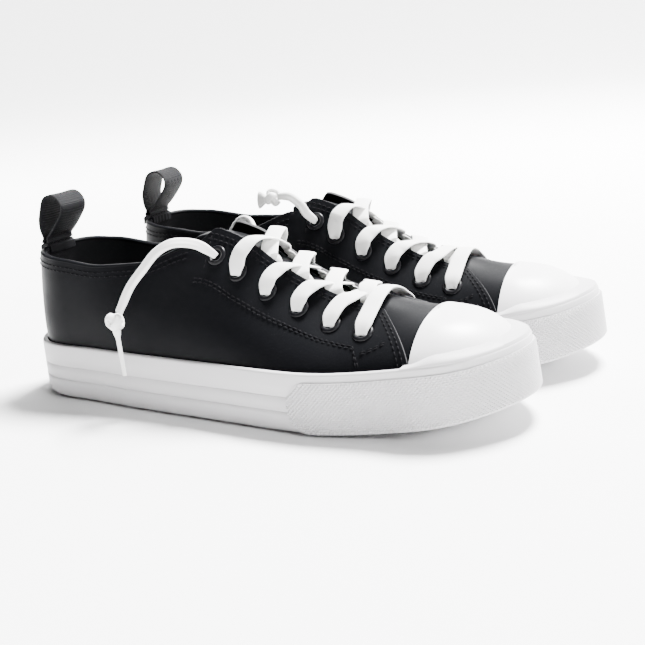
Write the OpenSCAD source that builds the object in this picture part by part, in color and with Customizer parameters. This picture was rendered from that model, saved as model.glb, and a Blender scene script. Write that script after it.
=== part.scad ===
// A pair of low lace-up trainers. The right shoe lies at -Y and the left at +Y, toes towards +X, soles on Z = 0.
// Every shape is worked out on one last: ribs fan round the heel, cross the spine, and fan round the toe.

/* [Sole] */
// Length of a shoe over the rubber band
shoe_l = 280; // [250:1:300]
// Height of the side wall of the sole
wall_h = 30; // [26:1:34]
// Rise of the sole under the toe tip
toe_spring = 15; // [6:1:18]
// Thickness of the rubber band round the sole
band_t = 2.5; // [2:0.5:3]
// How far the side wall leans in at the toe over its height
toe_lean = 3.2; // [0:0.1:5]
// Height of the textured toe bumper
bumper_h = 26; // [22:1:27]

/* [Upper] */
// Thickness of the faux leather
skin_t = 1.6; // [1.2:0.1:2]
// Thickness of the tongue
tongue_t = 3; // [2:0.5:4]
// Width of the pull loop tape
tape_w = 20; // [14:1:24]
// Height of the pull loop above the collar
loop_h = 26; // [20:1:30]

/* [Lacing] */
// Outer radius of an eyelet
eyelet_r = 5.2; // [4.5:0.1:6]
// Radius of the hole through an eyelet
hole_r = 2.8; // [2.4:0.1:3.2]
// Width of the flat lace
lace_w = 8; // [6:0.5:9]
// Thickness of the flat lace
lace_t = 1.2; // [1:0.1:1.6]
// Diameter of the knot at a lace end
knot_d = 11; // [8:1:12]

/* [Pair] */
// How far the left shoe stands ahead of the right one
pair_x = 6; // [0:1:15]
// Distance between the two shoes' centre lines
pair_y = 92; // [92:1:110]
// Outward turn of the left shoe in degrees
pair_turn = 4; // [0:1:6]

/* [Hidden] */

// The last. A station w runs from the heel back (0) over the heel side (2) and the toe side (6) to the tip (8).
heel_x = 34;
toe_x = shoe_l - 48;
toe_y = 5;
LATERAL_R = [36, 35, 33, 38, 43, 47, 42, 43, 46.5];
MEDIAL_R = [36, 35.5, 34, 34, 36.5, 40.5, 40, 43, 46.5];
UPPER_INSET = [3.2, 3.2, 3.2, 3.2, 3.2, 3.4, 4.5, 7, 9.5];
// Top edge of the upper at every half station: radius from the spine, height, and slope in degrees
EDGE_R = [29.5, 29.5, 29.5, 29, 29, 28, 22, 11, 10, 10, 10.5, 12, 13, 15, 16, 16, 16];
EDGE_Z = [76, 77, 77, 76, 75, 72.5, 77, 91, 87, 71.5, 60, 54, 51.2, 50.2, 50, 50, 50];
EDGE_SLOPE = [84, 84, 84, 84, 84, 80, 66, 58, 56, 52, 46, 30, 12, 8, 8, 8, 8];
EYELET_W = [3.82, 4.08, 4.4, 4.74, 5.1, 5.46];
EYELET_T = [0.83, 0.775, 0.76, 0.75, 0.71, 0.67];
floor_h = 22;
spring_x = shoe_l * 0.61;
corner_w = 3.55;
frame_x = 141.95;
frame_y = 47.4;

function smooth(a) = let (b = min(1, max(0, a))) b * b * (3 - 2 * b);
function mix(a, b, f) = a + (b - a) * f;
function cubic(a, b, c, d, f) =
    0.5 * (2 * b + (c - a) * f + (2 * a - 5 * b + 4 * c - d) * f * f + (3 * b - a - 3 * c + d) * f * f * f);
// Value at station w of a list whose entries are evenly spaced over 0 to 8, mirrored past both ends
function knot(list, w) =
    let (n = len(list) - 1, p = w * n / 8, i = min(n - 1, floor(p)))
    cubic(list[i > 0 ? i - 1 : 1], list[i], list[i + 1], list[i + 2 > n ? n - 1 : i + 2], p - i);
function side(v) = v < 0 ? -1 : 1;
function outline_r(v) = knot(v < 0 ? LATERAL_R : MEDIAL_R, abs(v));
function spring(x) = toe_spring * pow(max(0, x - spring_x) / (shoe_l - spring_x), 2);
function spine(w) =
    let (f = min(1, max(0, (w - 2) / 4)))
    [mix(heel_x, toe_x, f), toe_y * smooth(f)];
function rib_angle(w) = w < 2 ? 180 - 45 * w : w < 6 ? 90 : 90 - 45 * (w - 6);
// Point at distance r from the spine along the rib at v. With lift 1 it belongs to the sole: it rides on the
// toe spring, and round the toe the sole's wall leans in and is a little lower.
function place(v, r, z, lift = 0) =
    let (
        c = spine(abs(v)), a = rib_angle(abs(v)), toe = lift * smooth((abs(v) - 6) / 1.6),
        q = r - toe_lean * toe * z / wall_h, x = c[0] + q * cos(a),
        low = 1 - 0.08 * lift * smooth((x - toe_x) / 40)
    )
    [x, c[1] + side(v) * q * sin(a), z * low + lift * spring(x)];
function bezier(a, b, c, d, f) =
    pow(1 - f, 3) * a + 3 * pow(1 - f, 2) * f * b + 3 * (1 - f) * f * f * c + f * f * f * d;
// Outer surface of the upper in the plane of a rib. t is 0 at the sole, 1 at the top edge, 2 over the spine.
function rib(v, t) =
    let (
        w = abs(v), r = outline_r(v) - knot(UPPER_INSET, w), e = knot(EDGE_R, w), h = knot(EDGE_Z, w),
        s = knot(EDGE_SLOPE, w), z = floor_h + 0.4 + spring(place(v, r, 0)[0]),
        edge = [e, h], reach = 0.4 * norm([r - e, h - z]),
        full = min(e * 0.6 / cos(s), e * 1.1), rise = mix(1, 4, smooth((w - 4.9) / 0.5)),
        over = w > 3.3 ? min(full, rise / sin(s)) : full,
        ridge = [e - over * cos(s), h + over * sin(s)]
    )
    t <= 1
        ? bezier([r, z], [r + 1, z + 0.42 * (h - z)], edge + reach * [cos(s), -sin(s)], edge, t)
        : mix(mix(edge, ridge, t - 1), mix(ridge, [0, ridge[1]], t - 1), t - 1);
// The same surface sunk by d towards the foot
function surf(v, t, d = 0) =
    let (p = rib(v, t), q = rib(v, t + 0.002) - rib(v, t - 0.002), n = [-q[1], q[0]] / norm(q))
    place(v, p[0] + d * n[0], p[1] + d * n[1]);
// Top edge of the quarters: the collar, the step up at the eyestay's corner, then the eyestay
function top_t(v) =
    let (w = abs(v))
    w < corner_w ? mix(1, 0.88, smooth((w - 2.6) / 0.9)) : mix(0.89, 1, smooth((w - corner_w) / 0.22));

// Closed shell between two grids of points; wrap joins the last row to the first
module shell(a, b, wrap = false) {
    n = len(a);
    m = len(a[0]);
    points = concat([for (row = a) each row], [for (row = b) each row]);
    function at(i, j, k) = k * n * m + (i % n) * m + j;
    last = wrap ? n - 1 : n - 2;
    faces = concat(
        [for (i = [0:last], j = [0:m - 2]) [at(i, j, 0), at(i, j + 1, 0), at(i + 1, j + 1, 0), at(i + 1, j, 0)]],
        [for (i = [0:last], j = [0:m - 2]) [at(i, j, 1), at(i + 1, j, 1), at(i + 1, j + 1, 1), at(i, j + 1, 1)]],
        [for (i = [0:last]) [at(i, 0, 0), at(i + 1, 0, 0), at(i + 1, 0, 1), at(i, 0, 1)]],
        [for (i = [0:last]) [at(i, m - 1, 0), at(i, m - 1, 1), at(i + 1, m - 1, 1), at(i + 1, m - 1, 0)]],
        wrap ? [] : [for (j = [0:m - 2]) [at(0, j, 0), at(0, j, 1), at(0, j + 1, 1), at(0, j + 1, 0)]],
        wrap ? [] : [for (j = [0:m - 2])
            [at(n - 1, j, 0), at(n - 1, j + 1, 0), at(n - 1, j + 1, 1), at(n - 1, j, 1)]]
    );
    polyhedron(points, [for (f = faces, g = [[f[0], f[1], f[2]], [f[0], f[2], f[3]]]) g]);
}

// Solid swept through rings of equal length, closed by a fan at each end
module sweep(rings) {
    n = len(rings);
    m = len(rings[0]);
    points = [for (r = rings) each r];
    faces = concat(
        [for (i = [0:n - 2], j = [0:m - 1]) let (k = (j + 1) % m) each
            [[i * m + j, i * m + k, i * m + m + k], [i * m + j, i * m + m + k, i * m + m + j]]],
        [for (j = [1:m - 2]) [0, j + 1, j]],
        [for (j = [1:m - 2]) [(n - 1) * m, (n - 1) * m + j, (n - 1) * m + j + 1]]
    );
    polyhedron(points, faces);
}

// Slab inside the outline at an inset, between two heights above the sprung floor
module slab(inset, z0, z1, n = 28) {
    function loop(z, s) = [for (i = [0:n]) place(s * (0.02 + 7.96 * i / n), outline_r(s * 8 * i / n) - inset, z, 1)];
    shell([loop(z1, -1), loop(z1, 1)], [loop(z0, -1), loop(z0, 1)]);
}

LOOP_V = [for (i = [0:47]) i < 24 ? -8 + i / 3 : (i - 24) / 3];

module outsole() {
    color("white") slab(band_t + 0.6, 0, floor_h);
}

module midsole() {
    color("white") slab(11, floor_h + 0.1, floor_h + 2);
}

module footbed() {
    color("#202020") slab(12.4, floor_h + 2.1, floor_h + 6);
}

module foxing() {
    function row(inset) = [for (v = LOOP_V) [
        place(v, outline_r(v) - inset, 1.2, 1), place(v, outline_r(v) - inset, wall_h, 1)]];
    color("white") shell(row(0), row(band_t), wrap = true);
}

BUMPER_V = [for (i = [0:36]) let (w = 4.82 + 3.18 * (i < 19 ? i : 36 - i) / 18) i < 19 ? -w : w];

module toe_bumper() {
    // The strip narrows to a round end over its last few millimetres
    function round_end(w) = sqrt(1 - pow(1 - min(1, (w - 4.82) / 0.24 + 0.1), 2));
    function row(out) = [for (v = BUMPER_V) let (h = 0.5 * (bumper_h - 2) * round_end(abs(v)), m = bumper_h / 2 + 1)
        [for (z = [m - h, m, m + h]) place(v, outline_r(v) + out, z, 1)]];
    color("white") shell(row(1.6), row(0.35));
}

module toe_welt() {
    function row(k) = [for (v = BUMPER_V) if (abs(v) > 5.9)
        let (r = outline_r(v), i = knot(UPPER_INSET, abs(v)))
        [place(v, r - 0.1 - k * (i - 2.6), wall_h + 0.1, 1), place(v, r - 1.3 * i + 0.6 - k, wall_h + 2.4, 1)]];
    color("white") shell(row(0), row(1));
}

function patch(vs, ts, d) = [for (v = vs) [for (t = ts) surf(v, t * top_t(v), d)]];
function steps(a, b, n) = [for (i = [0:n]) mix(a, b, i / n)];

module toe_cap() {
    // A dome of ribs that meet over the toe's centre
    function v_at(i) = i <= 12 ? -6 - i / 6 : 8 - (i - 12) / 6;
    function rows(d) = [for (i = [0:24]) [for (t = [0, 0.2, 0.4, 0.6, 0.8, 1, 1.4]) surf(v_at(i), t, d)]];
    n = 25;
    m = 7;
    a = rows(0);
    b = rows(skin_t);
    apex = 2 * n * m;
    points = concat([for (r = a) each r], [for (r = b) each r], [surf(-6, 2, 0), surf(-6, 2, skin_t)]);
    function at(i, j, k) = k * n * m + i * m + j;
    quads = concat(
        [for (i = [0:n - 2], j = [0:m - 2]) [at(i, j, 0), at(i, j + 1, 0), at(i + 1, j + 1, 0), at(i + 1, j, 0)]],
        [for (i = [0:n - 2], j = [0:m - 2]) [at(i, j, 1), at(i + 1, j, 1), at(i + 1, j + 1, 1), at(i, j + 1, 1)]],
        [for (i = [0:n - 2]) [at(i, 0, 0), at(i + 1, 0, 0), at(i + 1, 0, 1), at(i, 0, 1)]],
        [for (j = [0:m - 2]) [at(0, j, 0), at(0, j, 1), at(0, j + 1, 1), at(0, j + 1, 0)]],
        [for (j = [0:m - 2]) [at(n - 1, j, 0), at(n - 1, j + 1, 0), at(n - 1, j + 1, 1), at(n - 1, j, 1)]],
        [[at(0, m - 1, 0), at(0, m - 1, 1), apex + 1, apex]],
        [[at(n - 1, m - 1, 1), at(n - 1, m - 1, 0), apex, apex + 1]]
    );
    fans = concat(
        [for (i = [0:n - 2]) [at(i, m - 1, 0), apex, at(i + 1, m - 1, 0)]],
        [for (i = [0:n - 2]) [at(i, m - 1, 1), at(i + 1, m - 1, 1), apex + 1]]
    );
    color("white")
        polyhedron(points, concat([for (f = quads, g = [[f[0], f[1], f[2]], [f[0], f[2], f[3]]]) g], fans));
}

module vamp() {
    // Across the forefoot from one side to the other, under the quarters and the cap
    function row(w, d) = concat(
        [for (t = [0.02, 0.25, 0.5, 0.75, 1, 1.4]) surf(-w, t, d)],
        [surf(w, 2, d)],
        [for (t = [1.4, 1, 0.75, 0.5, 0.25, 0.02]) surf(w, t, d)]
    );
    ws = steps(5.62, 6, 4);
    color("#181818") shell([for (w = ws) row(w, skin_t + 0.5)], [for (w = ws) row(w, 2 * skin_t + 0.5)]);
}

module quarter(s) {
    us = concat(steps(0.02, 3.5, 14), [corner_w, corner_w + 0.05, corner_w + 0.1], steps(3.8, 6, 9));
    function station(u, t) = u < 5 ? u : mix(5, mix(6.02, 5.56, t * t), u - 5);
    function rows(d) = [for (u = us) [for (t = steps(0, 1, 6)) surf(s * station(u, t), t * top_t(u), d)]];
    color("#181818")
        if (s < 0) shell(rows(0), rows(skin_t));
        else shell(rows(skin_t), rows(0));
}

module back_stay() {
    vs = steps(-0.4, 0.4, 4);
    color("#141414") shell(patch(vs, steps(0.16, 0.97, 5), -1.2), patch(vs, steps(0.16, 0.97, 5), -0.1));
}

function rim_vs() = concat(steps(-3.5, 3.5, 36));

module collar_binding() {
    // A rounded tape along the top edge from one eyestay corner to the other
    function ring(v) = let (t = top_t(v)) [
        for (e = [[0.006, -0.4], [0.02, -0.2], [0.035, 0.8], [0.035, 3.4], [0.02, 4.4], [0.006, 4.6]])
            surf(v, t + e[0], e[1])];
    color("#141414") sweep([for (v = rim_vs()) ring(v)]);
}

module lining() {
    vs = concat(steps(-5, -3.6, 6), steps(-3.45, 3.45, 26), steps(3.6, 5, 6));
    function high(v) = abs(v) > corner_w ? 0.56 : top_t(v) - 0.004;
    function rows(d) = [for (v = vs) [for (t = steps(0.1, 1, 4)) surf(v, t * high(v), d)]];
    color("#101010") shell(rows(skin_t + 0.6), rows(4.4));
}

module tongue() {
    // Its sides draw in towards the base and its free end lies lower than the eyestays
    function deep(w) = mix(7.5, 5.6, smooth((w - 3.5) / 0.9));
    ws = steps(3.5, 5.42, 9);
    function ts(w) = let (t = mix(0.7, 0.9, smooth((w - 4) / 1.2))) [t, mix(t, 1, 0.33), mix(t, 1, 0.67), 1, 1.4];
    // A point of the rib moved in towards the spine and down, about d from the surface
    function under(v, t, d) =
        let (p = rib(v, t)) place(v, p[0] * (1 - 0.625 * d / knot(EDGE_R, abs(v))), p[1] - 0.8 * d);
    function row(w, d) = concat(
        [for (t = ts(w)) under(-w, t, d)],
        [under(w, 2, d)],
        [for (i = [4:-1:0]) under(w, ts(w)[i], d)]
    );
    color("#181818") shell([for (w = ws) row(w, deep(w))], [for (w = ws) row(w, deep(w) + tongue_t)]);
}

// The pull loop is one tape bent to an upright oval on a narrow foot, leaning forward
loop_x = 7;
loop_z = 80.6;
tape_t = 1.3;

loop_a = 8;
loop_b = loop_h * 0.42;

// Side view of the loop from its foot up, let in by d all round
module loop_outline(d) {
    a = loop_a - d;
    b = loop_b - d;
    foot = d > 0 ? 0.1 : 2.6;
    polygon(concat(
        [for (i = [0:26]) [6 + a * cos(i * 10 - 35), loop_h * 0.58 + b * sin(i * 10 - 35)]],
        [[-foot, 0.5 + 2 * d], [foot, 0.5 + 2 * d]]));
}

module pull_loop() {
    color("#141414")
        translate([loop_x, tape_w / 2, loop_z]) rotate([90, 0, 0]) linear_extrude(tape_w)
            difference() {
                loop_outline(0);
                loop_outline(tape_t);
            }
}

module loop_anchor() {
    color("#141414")
        translate([loop_x, 0, loop_z - 1]) cube([6.4, tape_w, 0.8], center = true);
}

// Direction out of the upper at a point
function outward(v, t) =
    let (a = surf(v, t + 0.01) - surf(v, t - 0.01), b = surf(v, t, -1) - surf(v, t, 0))
    b / norm(b);

module eyelet(v, t) {
    p = surf(v, t, 0);
    n = outward(v, t);
    translate(p)
        rotate([0, acos(n[2]), atan2(n[1], n[0])])
            rotate_extrude($fn = 32)
                polygon([
                    [hole_r, -3], [hole_r + 0.5, -3], [hole_r + 0.5, -0.2], [eyelet_r, -0.2],
                    [eyelet_r, 0.5], [eyelet_r - 0.7, 1.1], [hole_r + 0.6, 1.1], [hole_r, 0.5]]);
}

module eyelets(s) {
    color("#101010")
        for (i = [0:5]) eyelet(s * EYELET_W[i], EYELET_T[i]);
}

// Smooth curve through control points, sampled n times between each pair
function through(p, n) = concat(
    [for (i = [0:len(p) - 2], j = [0:n - 1])
        let (a = p[max(0, i - 1)], d = p[min(len(p) - 1, i + 2)])
        cubic(a, p[i], p[i + 1], d, j / n)],
    [p[len(p) - 1]]
);
function unit(a) = a / norm(a);
function along(p, i) = unit(p[min(len(p) - 1, i + 1)] - p[max(0, i - 1)]);

// Flat ribbon along points p with face normals n; it narrows where it goes into an eyelet
module ribbon(p, n, pinch_both = false) {
    last = len(p) - 1;
    function half_w(i) = 0.5 * lace_w * min(1, 0.5 + 0.25 * i, pinch_both ? 0.5 + 0.25 * (last - i) : 1);
    function ring(i) =
        let (t = along(p, i), w = unit(cross(t, n[i])), u = unit(cross(w, t)), h = half_w(i), k = lace_t / 2)
        [p[i] + h * w, p[i] + 0.7 * h * w + k * u, p[i] - 0.7 * h * w + k * u,
            p[i] - h * w, p[i] - 0.7 * h * w - k * u, p[i] + 0.7 * h * w - k * u];
    sweep([for (i = [0:last]) ring(i)]);
}

// One crossing from eyelet k on side s: over its own eyestay, across the throat, under the other eyestay
module crossing(k, s, rise) {
    a = EYELET_W[k];
    b = EYELET_W[k + 1];
    t = EYELET_T[k];
    pts = [
        surf(s * a, t, -0.4), surf(s * a, t + 0.07, -2.6), surf(s * mix(a, b, 0.15), 0.93, -3),
        surf(s * mix(a, b, 0.35), 1.15, -2.2), surf(s * (a + b) / 2, 2, -0.6 - rise),
        surf(-s * mix(a, b, 0.75), 1.2, 2.4), surf(-s * mix(a, b, 0.85), 0.96, 3.5),
        surf(-s * b, EYELET_T[k + 1] + 0.1, 3.5)];
    nrm = [
        outward(s * a, t), outward(s * a, t), outward(s * a, 0.95), outward(s * a, 1.2),
        [0, 0, 1], outward(-s * b, 1.2), outward(-s * b, 0.95), outward(-s * b, 0.86)];
    ribbon(through(pts, 2), through(nrm, 2));
}

// The straight bar across the throat between the front eyelets
module bar() {
    w = EYELET_W[5];
    t = EYELET_T[5];
    function half(s) = [surf(s * w, t, -0.4), surf(s * w, t + 0.07, -2.6), surf(s * w, 0.95, -3), surf(s * w, 1.4, -2.6)];
    function half_n(s) = [outward(s * w, t), outward(s * w, t), outward(s * w, 0.95), outward(s * w, 1.4)];
    pts = concat(half(-1), [surf(w, 2, -2.4)], [for (i = [3:-1:0]) half(1)[i]]);
    nrm = concat(half_n(-1), [[0, 0, 1]], [for (i = [3:-1:0]) half_n(1)[i]]);
    ribbon(through(pts, 2), through(nrm, 2), pinch_both = true);
}

module lace() {
    color("white") {
        for (k = [1:4]) {
            crossing(k, -1, k == 1 ? 1.8 : 0);
            crossing(k, 1, k == 1 ? 0 : 1.8);
        }
        bar();
    }
}

// Free lace ends: route points from the eyelet to the knot, in the right shoe's own frame.
// The left shoe's routes are given in the same frame and mirrored with that shoe.
RIGHT_LATERAL = [[124, -17, 79], [120, -24, 85], [115, -28, 87], [109, -32, 87], [102, -35, 83], [96, -38, 76],
    [88, -40, 67], [83, -42, 58], [81, -43, 54]];
RIGHT_MEDIAL = [[124, 20, 80], [120, 26, 85], [115, 30, 87], [108, 34, 86], [101, 37, 81], [95, 39, 73],
    [89, 40, 64], [85, 41, 57]];
LEFT_MEDIAL = [[123, 20, 79], [121, 24, 84], [119, 26, 89], [113, 25, 93], [107, 23, 93.4], [104, 22, 93]];
LEFT_LATERAL = [[124, -17, 79], [118, -24, 85], [112, -29, 84], [106, -33, 79], [101, -36, 71], [98, -38, 64]];
end_r = 2.3;
tail_l = 20;
stub_l = 6;

// Round tube along a route, with eight sides
module lace_end(route) {
    p = through(route, 3);
    function ring(i) =
        let (t = along(p, i), u = unit(cross(t, [0, 1, 0.3])), w = cross(t, u))
        [for (a = [0:45:315]) p[i] + end_r * (cos(a) * u + sin(a) * w)];
    color("white") sweep([for (i = [len(p) - 1:-1:0]) ring(i)]);
}

function route_end(route) = route[len(route) - 1];
function route_way(route) = unit(route_end(route) - route[len(route) - 2]);
function knot_centre(route) = route_end(route) + 0.5 * knot_d * route_way(route);

module lace_knot(route) {
    color("white") translate(knot_centre(route)) sphere(d = knot_d, $fn = 32);
}

// The short end of lace past the knot; a hanging one points down, a short one goes straight on
module lace_tip(route, hanging) {
    way = hanging ? unit([0.06, 0, -1]) : route_way(route);
    color("white")
        translate(knot_centre(route) + way * (knot_d / 2 - 0.3))
            rotate([0, acos(way[2]), atan2(way[1], way[0])])
                cylinder(r1 = end_r * 0.9, r2 = end_r * 0.7, h = hanging ? tail_l : stub_l, $fn = 32);
}

// A shoe in the pair: the left one is the right one mirrored, moved and turned
module pose(left) {
    translate([-frame_x, -frame_y, 0])
        if (left) {
            translate([140 + pair_x, pair_y, 0]) rotate([0, 0, pair_turn]) translate([-140, 0, 0])
                mirror([0, 1, 0]) children();
        } else {
            children();
        }
}

pose(false) outsole();  // right_outsole
pose(false) midsole();  // right_midsole
pose(false) foxing();  // right_foxing
pose(false) toe_bumper();  // right_toe_bumper
pose(false) toe_welt();  // right_toe_welt
pose(false) toe_cap();  // right_toe_cap
pose(false) vamp();  // right_vamp
pose(false) quarter(-1);  // right_quarter_lateral
pose(false) quarter(1);  // right_quarter_medial
pose(false) back_stay();  // right_back_stay
pose(false) collar_binding();  // right_collar_binding
pose(false) lining();  // right_lining
pose(false) footbed();  // right_footbed
pose(false) tongue();  // right_tongue
pose(false) loop_anchor();  // right_loop_anchor
pose(false) pull_loop();  // right_pull_loop
pose(false) eyelets(-1);  // right_eyelets_lateral
pose(false) eyelets(1);  // right_eyelets_medial
pose(false) lace();  // right_lace
pose(false) lace_end(RIGHT_LATERAL);  // right_lace_end_lateral
pose(false) lace_knot(RIGHT_LATERAL);  // right_knot_lateral
pose(false) lace_tip(RIGHT_LATERAL, true);  // right_tip_lateral
pose(false) lace_end(RIGHT_MEDIAL);  // right_lace_end_medial
pose(false) lace_knot(RIGHT_MEDIAL);  // right_knot_medial
pose(false) lace_tip(RIGHT_MEDIAL, true);  // right_tip_medial
pose(true) outsole();  // left_outsole
pose(true) midsole();  // left_midsole
pose(true) foxing();  // left_foxing
pose(true) toe_bumper();  // left_toe_bumper
pose(true) toe_welt();  // left_toe_welt
pose(true) toe_cap();  // left_toe_cap
pose(true) vamp();  // left_vamp
pose(true) quarter(-1);  // left_quarter_lateral
pose(true) quarter(1);  // left_quarter_medial
pose(true) back_stay();  // left_back_stay
pose(true) collar_binding();  // left_collar_binding
pose(true) lining();  // left_lining
pose(true) footbed();  // left_footbed
pose(true) tongue();  // left_tongue
pose(true) loop_anchor();  // left_loop_anchor
pose(true) pull_loop();  // left_pull_loop
pose(true) eyelets(-1);  // left_eyelets_lateral
pose(true) eyelets(1);  // left_eyelets_medial
pose(true) lace();  // left_lace
pose(true) lace_end(LEFT_LATERAL);  // left_lace_end_lateral
pose(true) lace_knot(LEFT_LATERAL);  // left_knot_lateral
pose(true) lace_tip(LEFT_LATERAL, false);  // left_tip_lateral
pose(true) lace_end(LEFT_MEDIAL);  // left_lace_end_medial
pose(true) lace_knot(LEFT_MEDIAL);  // left_knot_medial
pose(true) lace_tip(LEFT_MEDIAL, false);  // left_tip_medial
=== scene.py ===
import math

import bpy
import numpy as np
from mathutils import Matrix, Vector


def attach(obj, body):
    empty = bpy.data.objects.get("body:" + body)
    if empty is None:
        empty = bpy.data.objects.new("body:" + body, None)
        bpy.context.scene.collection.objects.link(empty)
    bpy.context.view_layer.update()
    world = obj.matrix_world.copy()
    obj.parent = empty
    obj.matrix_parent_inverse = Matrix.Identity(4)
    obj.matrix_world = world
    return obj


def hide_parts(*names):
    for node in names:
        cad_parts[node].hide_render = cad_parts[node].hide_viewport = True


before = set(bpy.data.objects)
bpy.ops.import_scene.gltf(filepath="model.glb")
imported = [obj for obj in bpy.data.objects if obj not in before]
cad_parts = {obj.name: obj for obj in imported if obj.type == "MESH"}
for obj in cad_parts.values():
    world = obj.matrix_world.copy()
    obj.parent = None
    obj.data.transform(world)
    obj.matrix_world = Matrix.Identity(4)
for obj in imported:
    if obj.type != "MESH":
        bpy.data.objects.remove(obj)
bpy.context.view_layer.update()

# ---------------------------------------------------------------- the last
# The same construction as the CAD: a station w runs from the heel (0) to the toe tip (8), negative v is lateral.
L, WALL, SPRING, FLOOR, TOE_LEAN = 280.0, 30.0, 15.0, 22.0, 3.2
HEEL_X, TOE_X, TOE_Y, SPRING_X, CORNER = 34.0, 232.0, 5.0, 170.8, 3.55
LATERAL_R = [36, 35, 33, 38, 43, 47, 42, 43, 46.5]
MEDIAL_R = [36, 35.5, 34, 34, 36.5, 40.5, 40, 43, 46.5]
INSET = [3.2, 3.2, 3.2, 3.2, 3.2, 3.4, 4.5, 7, 9.5]
EDGE_R = [29.5, 29.5, 29.5, 29, 29, 28, 22, 11, 10, 10, 10.5, 12, 13, 15, 16, 16, 16]
EDGE_Z = [76, 77, 77, 76, 75, 72.5, 77, 91, 87, 71.5, 60, 54, 51.2, 50.2, 50, 50, 50]
EDGE_S = [84, 84, 84, 84, 84, 80, 66, 58, 56, 52, 46, 30, 12, 8, 8, 8, 8]
EYE_W = [3.82, 4.08, 4.4, 4.74, 5.1, 5.46]
EYE_T = [0.83, 0.775, 0.76, 0.75, 0.71, 0.67]
ORIGIN = np.array([141.95, 47.4, 0.0])
# how far the left shoe stands ahead and aside, and its turn about x = 140
PAIR = (6.0, 92.0, math.radians(4.0))
PAIR_X = 140
LACE_WIDTH, LACE_THICK = 8.6, 1.15


def smooth(a):
    b = min(1.0, max(0.0, a))
    return b * b * (3 - 2 * b)


def mix(a, b, f):
    return a + (b - a) * f


def cubic(a, b, c, d, f):
    return 0.5 * (2 * b + (c - a) * f + (2 * a - 5 * b + 4 * c - d) * f * f + (3 * b - a - 3 * c + d) * f ** 3)


def knot(row, w):
    n = len(row) - 1
    p = w * n / 8
    i = min(n - 1, int(math.floor(p)))
    return cubic(row[i - 1 if i > 0 else 1], row[i], row[i + 1], row[n - 1 if i + 2 > n else i + 2], p - i)


def outline_r(v):
    return knot(LATERAL_R if v < 0 else MEDIAL_R, abs(v))


def spring(x):
    return SPRING * (max(0.0, x - SPRING_X) / (L - SPRING_X)) ** 2


def place(v, r, z, lift=0):
    w = abs(v)
    f = min(1.0, max(0.0, (w - 2) / 4))
    a = math.radians(180 - 45 * w if w < 2 else 90 if w < 6 else 90 - 45 * (w - 6))
    toe = lift * smooth((w - 6) / 1.6)
    q = r - TOE_LEAN * toe * z / WALL
    x = mix(HEEL_X, TOE_X, f) + q * math.cos(a)
    y = TOE_Y * smooth(f) + (-1 if v < 0 else 1) * q * math.sin(a)
    low = 1 - 0.08 * lift * smooth((x - TOE_X) / 40)
    return np.array([x, y, z * low + lift * spring(x)])


def rib(v, t):
    w = abs(v)
    r = outline_r(v) - knot(INSET, w)
    e, h, s = knot(EDGE_R, w), knot(EDGE_Z, w), math.radians(knot(EDGE_S, w))
    z = FLOOR + 0.4 + spring(place(v, r, 0)[0])
    edge = np.array([e, h])
    reach = 0.4 * math.hypot(r - e, h - z)
    over = min(e * 0.6 / math.cos(s), e * 1.1)
    if w > 3.3:
        over = min(over, mix(1, 4, smooth((w - 4.9) / 0.5)) / math.sin(s))
    ridge = np.array([e - over * math.cos(s), h + over * math.sin(s)])
    if t <= 1:
        b = np.array([r + 1, z + 0.42 * (h - z)])
        c = edge + reach * np.array([math.cos(s), -math.sin(s)])
        return (1 - t) ** 3 * np.array([r, z]) + 3 * (1 - t) ** 2 * t * b + 3 * (1 - t) * t * t * c + t ** 3 * edge
    q = t - 1
    return mix(mix(edge, ridge, q), mix(ridge, np.array([0, ridge[1]]), q), q)


def surf(v, t, d=0.0):
    p = rib(v, t)
    q = rib(v, t + 0.002) - rib(v, t - 0.002)
    n = np.array([-q[1], q[0]]) / math.hypot(q[0], q[1])
    return place(v, p[0] + d * n[0], p[1] + d * n[1])


def top_t(v):
    w = abs(v)
    if w < CORNER:
        return mix(1, 0.88, smooth((w - 2.6) / 0.9))
    return mix(0.89, 1, smooth((w - CORNER) / 0.22))


def outward(v, t):
    b = surf(v, t, -1) - surf(v, t, 0)
    return b / np.linalg.norm(b)


def unit(a):
    return a / np.linalg.norm(a)


def steps(a, b, n):
    return [mix(a, b, i / n) for i in range(n + 1)]


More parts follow.
